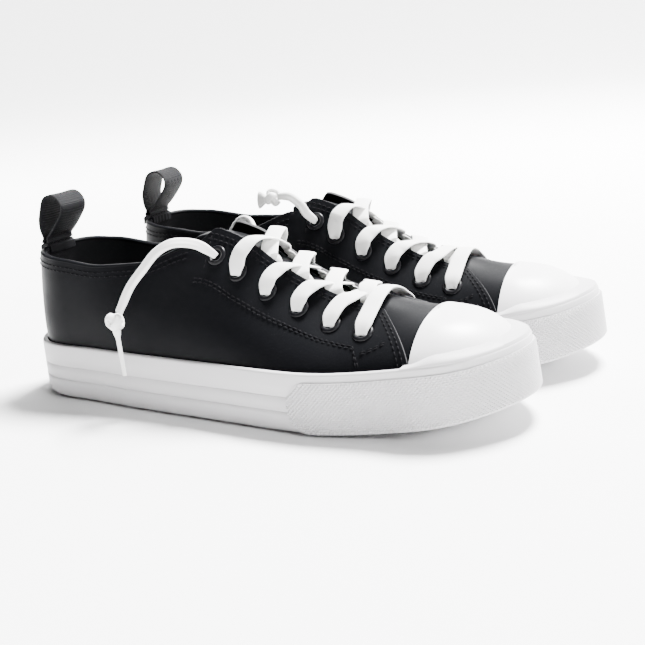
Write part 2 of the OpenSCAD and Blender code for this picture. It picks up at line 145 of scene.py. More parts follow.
# ---------------------------------------------------------------- materials
def material(name, color, rough, grain=(), coat=0.0, sheen=0.0, mottle=0.0, specular=0.5, mottle_scale=60.0):
    m = bpy.data.materials.new(name)
    m.use_nodes = True
    nt = m.node_tree
    b = nt.nodes["Principled BSDF"]
    b.inputs["Base Color"].default_value = (*color, 1)
    b.inputs["Roughness"].default_value = rough
    b.inputs["Coat Weight"].default_value = coat
    b.inputs["Coat Roughness"].default_value = 0.35
    b.inputs["Sheen Weight"].default_value = sheen
    b.inputs["Specular IOR Level"].default_value = specular
    tc = nt.nodes.new("ShaderNodeTexCoord")
    last = None
    for kind, scale, strength, dist in grain:
        if kind == "cells":
            t = nt.nodes.new("ShaderNodeTexVoronoi")
            t.inputs["Scale"].default_value = scale
            out = t.outputs["Distance"]
        elif kind == "weave":
            t = nt.nodes.new("ShaderNodeTexWave")
            t.wave_type = "BANDS"
            t.inputs["Scale"].default_value = scale
            out = t.outputs["Fac"]
        else:
            t = nt.nodes.new("ShaderNodeTexNoise")
            t.inputs["Scale"].default_value = scale
            t.inputs["Detail"].default_value = 4.0
            out = t.outputs["Fac"]
        nt.links.new(tc.outputs["Object"], t.inputs["Vector"])
        bump = nt.nodes.new("ShaderNodeBump")
        bump.inputs["Strength"].default_value = strength
        bump.inputs["Distance"].default_value = dist
        nt.links.new(out, bump.inputs["Height"])
        if last:
            nt.links.new(last.outputs["Normal"], bump.inputs["Normal"])
        last = bump
    if last:
        nt.links.new(last.outputs["Normal"], b.inputs["Normal"])
    if mottle:
        n = nt.nodes.new("ShaderNodeTexNoise")
        n.inputs["Scale"].default_value = mottle_scale
        n.inputs["Detail"].default_value = 3.0
        nt.links.new(tc.outputs["Object"], n.inputs["Vector"])
        ramp = nt.nodes.new("ShaderNodeMapRange")
        ramp.inputs["From Min"].default_value = 0.3
        ramp.inputs["From Max"].default_value = 0.7
        ramp.inputs["To Min"].default_value = rough - mottle
        ramp.inputs["To Max"].default_value = rough + mottle
        nt.links.new(n.outputs["Fac"], ramp.inputs["Value"])
        nt.links.new(ramp.outputs["Result"], b.inputs["Roughness"])
    return m


LEATHER = material("faux_leather", (0.0040, 0.0042, 0.0050), 0.42,
                   [("cells", 1500, 0.10, 0.0002), ("noise", 900, 0.12, 0.0002)], mottle=0.05, specular=0.03)
RAW = material("raw_edge", (0.018, 0.018, 0.020), 0.7, [("noise", 1500, 0.3, 0.0002)])
THREAD = material("black_thread", (0.004, 0.004, 0.005), 0.65, [("weave", 900, 0.5, 0.0001)], specular=0.06)
# painted shade: the sole's white rubber gets a darker grey than the cap's rubber of the same white, so its side
# walls read as shaded
RUBBER_PAINTED_SHADE = material("white_rubber_painted_shade", (0.52, 0.51, 0.52), 0.52, [("noise", 500, 0.06, 0.0002)], mottle=0.04)
CAP = material("cap_rubber", (0.74, 0.73, 0.74), 0.40, [("noise", 300, 0.04, 0.0002)], mottle=0.03)
LACE = material("flat_lace", (0.82, 0.815, 0.80), 0.82, [("noise", 2500, 0.25, 0.0002)], sheen=0.25)
TEXTILE = material("black_textile", (0.005, 0.005, 0.006), 0.88,
                   [("weave", 1100, 0.5, 0.0002), ("noise", 1500, 0.2, 0.0002)], specular=0.2)
TAPE = material("loop_tape", (0.006, 0.006, 0.007), 0.6, [("weave", 1300, 0.6, 0.0003)], specular=0.07)
ENAMEL = material("eyelet_enamel", (0.004, 0.004, 0.005), 0.30, specular=0.18)


# ---------------------------------------------------------------- mesh helpers
def to_frame(p, left):
    """A point of the right shoe's own millimetres, or its mirror in the left shoe, in the frame's metres."""
    x, y, z = p
    if left:
        c, s = math.cos(PAIR[2]), math.sin(PAIR[2])
        x, y = (x - PAIR_X) * c + y * s + PAIR_X + PAIR[0], (x - PAIR_X) * s - y * c + PAIR[1]
    return ((x - ORIGIN[0]) / 1000, (y - ORIGIN[1]) / 1000, z / 1000)


class Build:
    """Collects points and faces of one piece in shoe millimetres."""

    def __init__(self):
        self.points, self.faces, self.slots = [], [], []

    def shell(self, a, b, wrap=False, rim=0, closed=True):
        """Closed wall between two grids of points; rim is the material of its edges."""
        n, m = len(a), len(a[0])
        k = len(self.points)
        self.points += [tuple(p) for g in (a, b) for row in g for p in row]

        def at(i, j, s):
            return k + s * n * m + (i % n) * m + j
        last = n if wrap else n - 1
        for i in range(last):
            for j in range(m - 1):
                self.faces.append((at(i, j, 0), at(i, j + 1, 0), at(i + 1, j + 1, 0), at(i + 1, j, 0)))
                self.faces.append((at(i, j, 1), at(i + 1, j, 1), at(i + 1, j + 1, 1), at(i, j + 1, 1)))
                self.slots += [0, 0]
            if closed:
                self.faces.append((at(i, 0, 0), at(i + 1, 0, 0), at(i + 1, 0, 1), at(i, 0, 1)))
                self.faces.append((at(i, m - 1, 0), at(i, m - 1, 1), at(i + 1, m - 1, 1), at(i + 1, m - 1, 0)))
                self.slots += [rim, rim]
        if closed and not wrap:
            for j in range(m - 1):
                self.faces.append((at(0, j, 0), at(0, j, 1), at(0, j + 1, 1), at(0, j + 1, 0)))
                self.faces.append((at(n - 1, j, 0), at(n - 1, j + 1, 0), at(n - 1, j + 1, 1), at(n - 1, j, 1)))
                self.slots += [rim, rim]

    def sweep(self, rings, cap=True, wrap=False, slot=0):
        n, m = len(rings), len(rings[0])
        k = len(self.points)
        self.points += [tuple(p) for r in rings for p in r]
        for i in range(n if wrap else n - 1):
            for j in range(m):
                a, b = k + i * m, k + ((i + 1) % n) * m
                self.faces.append((a + j, a + (j + 1) % m, b + (j + 1) % m, b + j))
                self.slots.append(slot)
        if cap and not wrap:
            self.faces.append(tuple(k + m - 1 - j for j in range(m)))
            self.faces.append(tuple(k + (n - 1) * m + j for j in range(m)))
            self.slots += [slot, slot]

    def make(self, name, mats, left, body, replaces=(), flat=False, angle=40, bevel=0.0, fix=True):
        mesh = bpy.data.meshes.new(name)
        faces = [tuple(reversed(f)) for f in self.faces] if left else self.faces
        mesh.from_pydata([to_frame(p, left) for p in self.points], [], faces)
        for m in mats:
            mesh.materials.append(m)
        mesh.polygons.foreach_set("material_index", self.slots)
        mesh.update()
        obj = bpy.data.objects.new(name, mesh)
        bpy.context.scene.collection.objects.link(obj)
        if fix:
            bpy.context.view_layer.objects.active = obj
            obj.select_set(True)
            bpy.ops.object.mode_set(mode="EDIT")
            bpy.ops.mesh.select_all(action="SELECT")
            bpy.ops.mesh.normals_make_consistent(inside=False)
            bpy.ops.object.mode_set(mode="OBJECT")
            obj.select_set(False)
        if not flat:
            mesh.polygons.foreach_set("use_smooth", [True] * len(mesh.polygons))
            mesh.set_sharp_from_angle(angle=math.radians(angle))
        if bevel:
            mod = obj.modifiers.new("soft_edge", "BEVEL")
            mod.width = bevel / 1000
            mod.segments = 2
            mod.limit_method = "ANGLE"
            mod.angle_limit = math.radians(50)
        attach(obj, body)
        if replaces:
            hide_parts(*replaces)
        return obj


# ---------------------------------------------------------------- sole
AROUND = [-8 + 16 * i / 240 for i in range(240)]


def foxing(side, left, body):
    # side wall with two fine seam lines, a softened foot and a rolled top
    profile = [(1.4, 2.4), (1.2, 1.5), (1.8, 0.85), (3.0, 0.35), (5.0, 0.08), (8.0, 0.0), (10.55, -0.05),
               (10.8, 0.38), (11.05, 0.12), (14.0, 0.0), (18.0, 0.0), (18.25, 0.3), (18.5, 0.0), (24.0, 0.0),
               (28.8, 0.0), (29.6, 0.25), (30.0, 0.8), (30.0, 2.4)]
    b = Build()
    b.sweep([[place(v, outline_r(v) - inset, z, 1) for z, inset in profile] for v in AROUND], wrap=True)
    b.make(side + "_foxing_wall", [RUBBER_PAINTED_SHADE], left, body, [side + "_foxing"], angle=70)


def outsole(side, left, body):
    # a tread of shallow chevron grooves between a smooth border and the sides
    b = Build()
    rows = []
    for i in range(141):
        w = 0.02 + 7.96 * i / 140
        a, c = place(-w, outline_r(-w) - 3.1, 0, 1), place(w, outline_r(w) - 3.1, 0, 1)
        rows.append([mix(a, c, j / 40) for j in range(41)])
    for i, row in enumerate(rows):
        for j, p in enumerate(row):
            edge = min(np.linalg.norm(p - row[0]), np.linalg.norm(p - row[-1]))
            phase = (p[0] + 0.8 * abs((p[1] - 3) % 24 - 12)) % 7
            groove = 1.0 if 0 < i < 140 and edge > 5 and phase < 2.2 else 0.0
            p[2] = spring(p[0]) + 0.02 + 1.1 * groove
    top = [[p + np.array([0, 0, 20]) for p in row] for row in rows]
    b.shell(rows, top)
    b.make(side + "_tread", [RUBBER_PAINTED_SHADE], left, body, [side + "_outsole", side + "_midsole"], flat=True)


def bumper(side, left, body):
    # diamond knurl: a lattice of small pyramids between two plain borders
    fine = [(-4.82 - 3.18 * i / 400) for i in range(401)]
    fine = fine + [-v for v in reversed(fine[:-1])]
    line = np.array([place(v, outline_r(v) + 1.2, 12, 1) for v in fine])
    length = np.concatenate([[0], np.cumsum(np.linalg.norm(np.diff(line, axis=0), axis=1))])
    pitch = 1.06
    n = int(length[-1] / pitch)
    unwrapped = np.array([abs(v) if v < 0 else 16 - v for v in fine])
    cols = [float(np.interp(length[-1] * i / n, length, unwrapped)) for i in range(n + 1)]
    vs = [-u if u <= 8 else 16 - u for u in cols]
    z0, z1, corner = 1.0, 26.0, 12.0
    rows = int((z1 - z0) / pitch)
    b = Build()
    keep = {}

    def limits(i):
        s = min(i, n - i) * length[-1] / n
        if s >= corner:
            return z0, z1
        d = corner - math.sqrt(max(0.0, corner ** 2 - (corner - s) ** 2))
        return z0 + d, z1 - d

    def vertex(i, j, skirt=False):
        key = (i, j, skirt)
        if key not in keep:
            lo, hi = limits(i)
            z = min(hi, max(lo, mix(z0, z1, j / rows)))
            edge = min(z - lo, hi - z, min(i, n - i) * pitch)
            peak = 0.78 if (i + j) % 2 == 0 and edge > 0.8 else 0.0
            out = -0.3 if skirt else 0.7 + peak * min(1, edge / 1.6 + 0.3)
            keep[key] = len(b.points)
            b.points.append(tuple(place(vs[i], outline_r(vs[i]) + out, z, 1)))
        return keep[key]

    def inside(i, j):
        lo, hi = (max(limits(i)[0], limits(i + 1)[0]), min(limits(i)[1], limits(i + 1)[1]))
        za, zb = mix(z0, z1, j / rows), mix(z0, z1, (j + 1) / rows)
        return zb > lo + 0.05 and za < hi - 0.05
    cells = {(i, j) for i in range(n) for j in range(rows) if inside(i, j)}
    for i, j in cells:
        q = [vertex(i, j), vertex(i + 1, j), vertex(i + 1, j + 1), vertex(i, j + 1)]
        if (i + j) % 2 == 0:
            tris = [(q[0], q[1], q[3]), (q[1], q[2], q[3])]
        else:
            tris = [(q[0], q[1], q[2]), (q[0], q[2], q[3])]
        b.faces += tris
        b.slots += [0, 0]
        for (di, dj), (p, r) in (((-1, 0), ((0, 0), (0, 1))), ((1, 0), ((1, 0), (1, 1))),
                                 ((0, -1), ((0, 0), (1, 0))), ((0, 1), ((0, 1), (1, 1)))):
            if (i + di, j + dj) not in cells:
                a, c = (i + p[0], j + p[1]), (i + r[0], j + r[1])
                b.faces.append((vertex(*a), vertex(*c), vertex(*c, True), vertex(*a, True)))
                b.slots.append(0)
    b.make(side + "_knurled_bumper", [RUBBER_PAINTED_SHADE], left, body, [side + "_toe_bumper"], flat=True)


def welt(side, left, body):
    b = Build()
    vs = [-5.96 - 2.04 * i / 90 for i in range(91)] + [5.96 + 2.04 * i / 90 for i in range(89, -1, -1)]
    rings = []
    for v in vs:
        r, i = outline_r(v), knot(INSET, abs(v))
        k = smooth((abs(v) - 5.96) / 0.5)
        a, c = r - 0.5, r - 1.33 * i + 1.2
        rings.append([place(v, a, 29.8, 1), place(v, a - 0.05, 30.2 + 0.5 * k, 1),
                      place(v, a - 0.5, 30.4 + 1.2 * k, 1), place(v, mix(a, c, 0.6), 30.5 + 2.4 * k, 1),
                      place(v, c + 0.3, 30.6 + 3.2 * k, 1), place(v, c - 0.3, 30.5 + 3.1 * k, 1),
                      place(v, c - 2.2, 30.4 + 1.0 * k, 1), place(v, c - 2.2, 29.6, 1)])
    b.sweep(rings)
    b.make(side + "_welt_strip", [RUBBER_PAINTED_SHADE], left, body, [side + "_toe_welt"], angle=50)


# ---------------------------------------------------------------- upper
def waviness(v, t):
    """A slow wave of the leather, under a third of a millimetre."""
    across = math.sin(7 * t) * math.sin(math.pi * min(1, t))
    return 0.16 * math.sin(2.1 * v + 3 * t) * across + 0.10 * math.sin(5.3 * v)


def toe_cap(side, left, body):
    vs = [-6 - 2 * i / 48 for i in range(49)] + [8 - 2 * i / 48 for i in range(1, 49)]
    ts = [0.02, 0.1, 0.2, 0.3, 0.4, 0.5, 0.6, 0.7, 0.8, 0.9, 1.0, 1.15, 1.3, 1.5, 1.7, 1.85, 1.96]
    b = Build()
    outer = [[surf(v, t, -0.25) for t in ts] for v in vs]
    inner = [[surf(v, t, 1.4) for t in ts] for v in vs]
    b.shell(outer, inner)
    k = len(b.points)
    n, m = len(vs), len(ts)
    b.points += [tuple(surf(-6, 2, -0.25)), tuple(surf(-6, 2, 1.4))]
    for i in range(n - 1):
        b.faces.append((i * m + m - 1, k, (i + 1) * m + m - 1))
        b.slots.append(0)
    b.make(side + "_cap_dome", [CAP], left, body, [side + "_toe_cap"], angle=60, bevel=0.4)


def vamp(side, left, body):
    ws = steps(5.36, 6.02, 14)
    ts = [0.02, 0.1, 0.2, 0.3, 0.4, 0.5, 0.6, 0.7, 0.8, 0.9, 1.0, 1.2, 1.4, 1.7]

    def row(w, d):
        # it sinks under the eyestays towards the throat
        return ([surf(-w, t, d) for t in ts] + [surf(w, 2, d)] + [surf(w, t, d) for t in reversed(ts)])
    b = Build()
    b.shell([row(w, 1.3) for w in ws], [row(w, 2.8) for w in ws])
    b.make(side + "_vamp_panel", [LEATHER], left, body, [side + "_vamp"], bevel=0.3)


def station(u, t):
    return u if u < 5 else mix(5, mix(6.02, 5.56, t * t), u - 5)


def quarter(side, left, body, s, tag):
    us = steps(0.0, 3.5, 56) + [3.52, 3.535, CORNER, CORNER + 0.025, CORNER + 0.05, CORNER + 0.075, CORNER + 0.1]
    us += steps(3.68, 6, 44)
    ts = steps(0, 0.94, 22) + [0.97, 1.0]
    b = Build()

    def wave(u, t):
        return waviness(s * u, t) * (u < 5.6) * min(1, 8 * (1 - t))
    b.shell([[surf(s * station(u, t), t * top_t(u), wave(u, t)) for t in ts] for u in us],
            [[surf(s * station(u, t), t * top_t(u), 1.6) for t in ts] for u in us], rim=1)
    b.make(side + "_quarter_" + tag + "_leather", [LEATHER, RAW], left, body, [side + "_quarter_" + tag], bevel=0.3)


def back_stay(side, left, body):
    vs = steps(-0.4, 0.4, 14)
    ts = steps(0.14, 0.965, 26)
    b = Build()
    b.shell([[surf(v, t, -1.0) for t in ts] for v in vs], [[surf(v, t, 0.2) for t in ts] for v in vs], rim=1)
    b.make(side + "_back_stay_strip", [LEATHER, RAW], left, body, [side + "_back_stay"], bevel=0.35)


def collar(side, left, body):
    rings = []
    for v in steps(-3.5, 3.5, 150):
        t = top_t(v)
        ring = []
        for i in range(14):
            a = 2 * math.pi * i / 14
            d = 1.65 + 1.75 * math.cos(a)
            ring.append(surf(v, t + 0.006 + 0.020 * math.sin(a), d))
        rings.append(ring)
    b = Build()
    b.sweep(rings)
    b.make(side + "_collar_roll", [LEATHER], left, body, [side + "_collar_binding"], angle=70)


def lining(side, left, body):
    vs = steps(-5.2, -3.6, 16) + steps(-3.45, 3.45, 90) + steps(3.6, 5.2, 16)

    def high(v):
        return 0.62 if abs(v) > CORNER else top_t(v)
    ts = steps(0.08, 1, 12)
    b = Build()
    b.shell([[surf(v, t * high(v), 1.75) for t in ts] for v in vs],
            [[surf(v, t * high(v), 3.2) for t in ts] for v in vs])
    b.make(side + "_lining_cloth", [TEXTILE], left, body, [side + "_lining"])


def footbed(side, left, body):
    ws = [0.02 + 7.96 * i / 100 for i in range(101)]

    def row(w, z, edge=0.0):
        out = []
        for j in range(25):
            f = j / 24
            p = mix(place(-w, outline_r(-w) - 12.0, z, 1), place(w, outline_r(w) - 12.0, z, 1), f)
            p[2] += edge * (2 * f - 1) ** 4 * 2.2 + 0.8 * math.exp(-((p[0] - 95) / 30) ** 2) * max(0, 2 * f - 1)
            out.append(p)
        return out
    b = Build()
    b.shell([row(w, FLOOR + 5.9, 1) for w in ws], [row(w, FLOOR + 2.1) for w in ws])
    b.make(side + "_insole", [TEXTILE], left, body, [side + "_footbed"])


def tongue(side, left, body):
    ws = steps(3.44, 5.44, 36)

    def ts(w):
        t = mix(0.66, 0.9, smooth((w - 4) / 1.2))
        return [mix(t, 1, i / 6) for i in range(6)] + [1, 1.2, 1.4, 1.7]

    def row(w, d, pad):
        a = ts(w)
        d += mix(1.9, 0, smooth((w - 3.5) / 0.9))

        def under(v, t):
            p, q = rib(v, t), d - pad * (1 if t > 0.85 else 0.6)
            return place(v, p[0] * (1 - 0.625 * q / knot(EDGE_R, w)), p[1] - 0.8 * q)
        return [under(-w, t) for t in a] + [under(w, 2)] + [under(w, t) for t in reversed(a)]
    b = Build()
    b.shell([row(w, 5.5, 0.4 * math.sin(math.pi * (w - 3.44) / 2.0)) for w in ws],
            [row(w, 8.2, 0) for w in ws], rim=1)
    b.make(side + "_tongue_pad", [LEATHER, TEXTILE], left, side + "_tongue_flap", [side + "_tongue"], bevel=0.5)


# ---------------------------------------------------------------- stitching
def stitch_rows(rows):
    """Stitches that lie along rows of surface points; each row is (points, outward normals)."""
    b = Build()
    for pts, nrm in rows:
        pts = np.array(pts)
        d = np.concatenate([[0], np.cumsum(np.linalg.norm(np.diff(pts, axis=0), axis=1))])
        count = int(d[-1] / 3.0)
        for k in range(count):
            s0, s1 = d[-1] * (k + 0.1) / count, d[-1] * (k + 0.86) / count
            a = np.array([np.interp(s0, d, pts[:, i]) for i in range(3)])
            c = np.array([np.interp(s1, d, pts[:, i]) for i in range(3)])
            n = unit(np.array([np.interp((s0 + s1) / 2, d, np.array(nrm)[:, i]) for i in range(3)]))
            t = unit(c - a)
            side = unit(np.cross(t, n))
            rings = []
            for f, r in ((0.0, 0.10), (0.12, 0.26), (0.5, 0.34), (0.88, 0.26), (1.0, 0.10)):
                p = mix(a, c, f) + n * (0.30 * math.sin(math.pi * f) - 0.02)
                rings.append([p + r * (math.cos(q) * side + 0.8 * math.sin(q) * n)
                              for q in [2 * math.pi * i / 6 for i in range(6)]])
            b.sweep(rings)
    return b


def line(points, d=-0.05):
    """A stitched line through (v, t) points on the upper, with its normals."""
    pts, nrm = [], []
    for (v0, t0), (v1, t1) in zip(points, points[1:]):
        for f in steps(0, 1, 8)[:-1]:
            v, t = mix(v0, v1, f), mix(t0, t1, f)
            pts.append(surf(v, t, d))
            nrm.append(outward(v, t))
    v, t = points[-1]
    return pts + [surf(v, t, d)], nrm + [outward(v, t)]


def stitching(side, left, body):
    rows = []
    for s in (-1, 1):
        # two rows under the eyestay edge, two rows under the eyelets
        for k in (0.958, 0.925):
            rows.append(line([(s * w, k) for w in steps(3.68, 5.52, 14)]))
        for k in (0.0, 0.026):
            low = [(s * w, knot_t(w) - 0.175 - k) for w in steps(3.62, 5.42, 12)]
            rows.append(line(low + [(s * (5.46 + k), 0.36 - k), (s * (5.5 + k), 0.24)]))
            rows.append(line([(s * 5.5, 0.40 + k), (s * 5.62, 0.46 + k), (s * 5.72, 0.54 + k)]))
        # two rows inside the front edge
        for k in (0.045, 0.095):
            rows.append(line([(s * (station(6, t) - k), t) for t in steps(0.2, 0.96, 12)]))
        # two rows under the collar and the flap's rear edge
        for k in (0.045, 0.085):
            rows.append(line([(s * u, top_t(u) - k) for u in steps(0.42, 3.5, 26)]))
        rows.append(line([(s * 3.72, t) for t in steps(0.72, 0.95, 4)]))
        # the back stay
        rows.append(line([(s * 0.33, t) for t in steps(0.16, 0.95, 10)], -1.05))
        rows.append(line([(s * 0.27, t) for t in steps(0.16, 0.95, 10)], -1.05))
    b = stitch_rows(rows)
    b.make(side + "_stitching", [THREAD], left, body, fix=False)


def knot_t(w):
    return float(np.interp(w, EYE_W, EYE_T))


# ---------------------------------------------------------------- eyelets
def eyelets(side, left, body, s, tag):
    b = Build()
    for w, t in zip(EYE_W, EYE_T):
        p, n = surf(s * w, t, 0), outward(s * w, t)
        x = unit(np.cross(n, [0, 0, 1.0]))
        y = np.cross(n, x)
        profile = [(2.8, -3.0), (3.3, -3.0), (3.35, -0.1), (5.15, -0.1), (5.25, 0.25), (5.0, 0.62), (4.4, 0.95),
                   (3.8, 1.0), (3.2, 0.8), (2.85, 0.35), (2.8, -0.2)]
        b.sweep([[p + r * (math.cos(a) * x + math.sin(a) * y) + h * n for r, h in profile]
                 for a in [2 * math.pi * i / 40 for i in range(40)]], wrap=True)
    b.make(side + "_eyelet_rings_" + tag, [ENAMEL], left, body, [side + "_eyelets_" + tag], angle=50)


# ---------------------------------------------------------------- laces
def through(points, n):
    p = [np.array(q, float) for q in points]
    out = []
    for i in range(len(p) - 1):
        a, d = p[max(0, i - 1)], p[min(len(p) - 1, i + 2)]
        for j in range(n):
            out.append(cubic(a, p[i], p[i + 1], d, j / n))
    return out + [p[-1]]


def even(points, normals, pitch):
    pts, nrm = np.array(points), np.array(normals)
    d = np.concatenate([[0], np.cumsum(np.linalg.norm(np.diff(pts, axis=0), axis=1))])
    n = max(8, int(d[-1] / pitch))
    s = np.linspace(0, d[-1], n + 1)
    return (np.array([[np.interp(q, d, pts[:, i]) for i in range(3)] for q in s]),
            np.array([[np.interp(q, d, nrm[:, i]) for i in range(3)] for q in s]), s)


def ribbon(b, points, normals, width, thick, pinch, curl=1.5, dome=0.25):
    """Flat woven lace. pinch(s, length) is 1 where it is flat and less where an eyelet gathers it."""
    pts, nrm, s = even(points, normals, 0.42)
    us = [-1, -0.94, -0.8, -0.65, -0.5, -0.35, -0.2, -0.07, 0.07, 0.2, 0.35, 0.5, 0.65, 0.8, 0.94, 1]
    rings = []
    for i, p in enumerate(pts):
        t = unit(pts[min(len(pts) - 1, i + 1)] - pts[max(0, i - 1)])
        w = unit(np.cross(t, nrm[i]))
        u = unit(np.cross(w, t))
        g = pinch(s[i], s[-1])
        half = 0.5 * width * g
        top, low = [], []
        for k in us:
            bow = curl * (1 - g) * (k * k) * 1.6 - dome * k * k * g
            rib_h = 0.085 * math.cos(2 * math.pi * (s[i] / 1.3 + abs(k) * 2.2)) * g
            edge = 1 - 0.55 * abs(k) ** 6
            base = p + half * k * w
            top.append(base + u * (bow + edge * thick / 2 + rib_h))
            low.append(base + u * (bow - edge * thick / 2 + rib_h * 0.6))
        rings.append(top + low[::-1])
    b.sweep(rings)


def gather(at_start, at_end):
    def f(s, n):
        g = 1.0
        if at_start:
            g = min(g, 0.62 + 0.38 * smooth((s - 1.5) / 6.5))
        if at_end:
            g = min(g, 0.62 + 0.38 * smooth((n - s - 1.5) / 6.5))
        return g
    return f


def laces(side, left, body):
    b = Build()
    for k in range(1, 5):
        for s in (-1, 1):
            a, c, t = EYE_W[k], EYE_W[k + 1], EYE_T[k]
            under = s < 0
            if k == 1:
                under = not under
            arch = (3.4 if s > 0 else 1.2) if k == 1 else 0.0
            over = [(-3.6, 0.93), (-3.0, 1.15), (-2.0, 2), (-0.2, 1.45), (2.3, 1.15), (3.7, 0.97)]
            low = [(-3.0, 0.93), (-1.5, 1.15), (0.5, 2), (1.5, 1.4), (2.7, 1.15), (3.7, 0.97)]
            way = low if under else over
            pts = [surf(s * a, t - 0.035, 1.8), surf(s * a, t - 0.005, -1.0),
                   surf(s * (a + 0.005), t + 0.08, -3.0 - arch * 0.3),
                   surf(s * mix(a, c, 0.14), way[0][1], way[0][0] - arch),
                   surf(s * mix(a, c, 0.34), way[1][1], way[1][0] - arch),
                   surf(s * (a + c) / 2, 2, way[2][0] - 0.6 * arch),
                   surf(-s * mix(a, c, 0.68), way[3][1], way[3][0]),
                   surf(-s * mix(a, c, 0.76), way[4][1], way[4][0]),
                   surf(-s * mix(a, c, 0.86), way[5][1], way[5][0]),
                   surf(-s * c, EYE_T[k + 1] + 0.1, 3.4)]
            nrm = [outward(s * a, t), outward(s * a, t), outward(s * a, t), outward(s * a, 0.93),
                   outward(s * a, 1.2), np.array([0, 0, 1.0]), outward(-s * c, 1.3), outward(-s * c, 1.1),
                   outward(-s * c, 0.95), outward(-s * c, 0.9)]
            ribbon(b, through(pts, 8), through(nrm, 8), LACE_WIDTH, LACE_THICK, gather(True, False))
    w, t = EYE_W[5], EYE_T[5]

    def half(s):
        return [surf(s * w, t - 0.035, 1.8), surf(s * w, t - 0.005, -1.0), surf(s * w, t + 0.09, -2.9),
                surf(s * w, 0.93, -2.8), surf(s * w, 1.35, -2.6)]

    def half_n(s):
        return [outward(s * w, t), outward(s * w, t), outward(s * w, t), outward(s * w, 0.95), outward(s * w, 1.4)]
    pts = half(-1) + [surf(w, 2, -2.5)] + half(1)[::-1]
    nrm = half_n(-1) + [np.array([0, 0, 1.0])] + half_n(1)[::-1]
    ribbon(b, through(pts, 8), through(nrm, 8), LACE_WIDTH, LACE_THICK, gather(True, True))
    b.make(side + "_lace_weave", [LACE], left, body, [side + "_lace"], angle=75)


# Free ends: points from inside the eyelet to the knot, in the right shoe's millimetres
ROUTES = {
    ("right", "lateral"): [[124, -16.5, 78.2], [123.4, -19, 80.5], [120, -24, 85], [115, -28, 87], [109, -32, 87],
                           [102, -35, 83], [96, -38, 76], [88, -40, 67], [83, -42, 58], [81, -43, 54]],
    ("right", "medial"): [[124, 19.5, 79], [123, 22, 81.5], [120, 26, 85], [115, 30, 87], [108, 34, 86],
                          [101, 37, 81], [95, 39, 73], [89, 40, 64], [85, 41, 57]],
    ("left", "medial"): [[124.5, 17, 77], [123.5, 20, 79.5], [121, 24, 84], [119, 26, 89], [113, 25, 93],
                         [107, 23, 93.4], [104, 22, 93]],
    ("left", "lateral"): [[124, -16.5, 78.2], [122, -20, 81.5], [118, -24, 85], [112, -29, 84], [106, -33, 79],
                          [101, -36, 71], [98, -38, 64]],
}


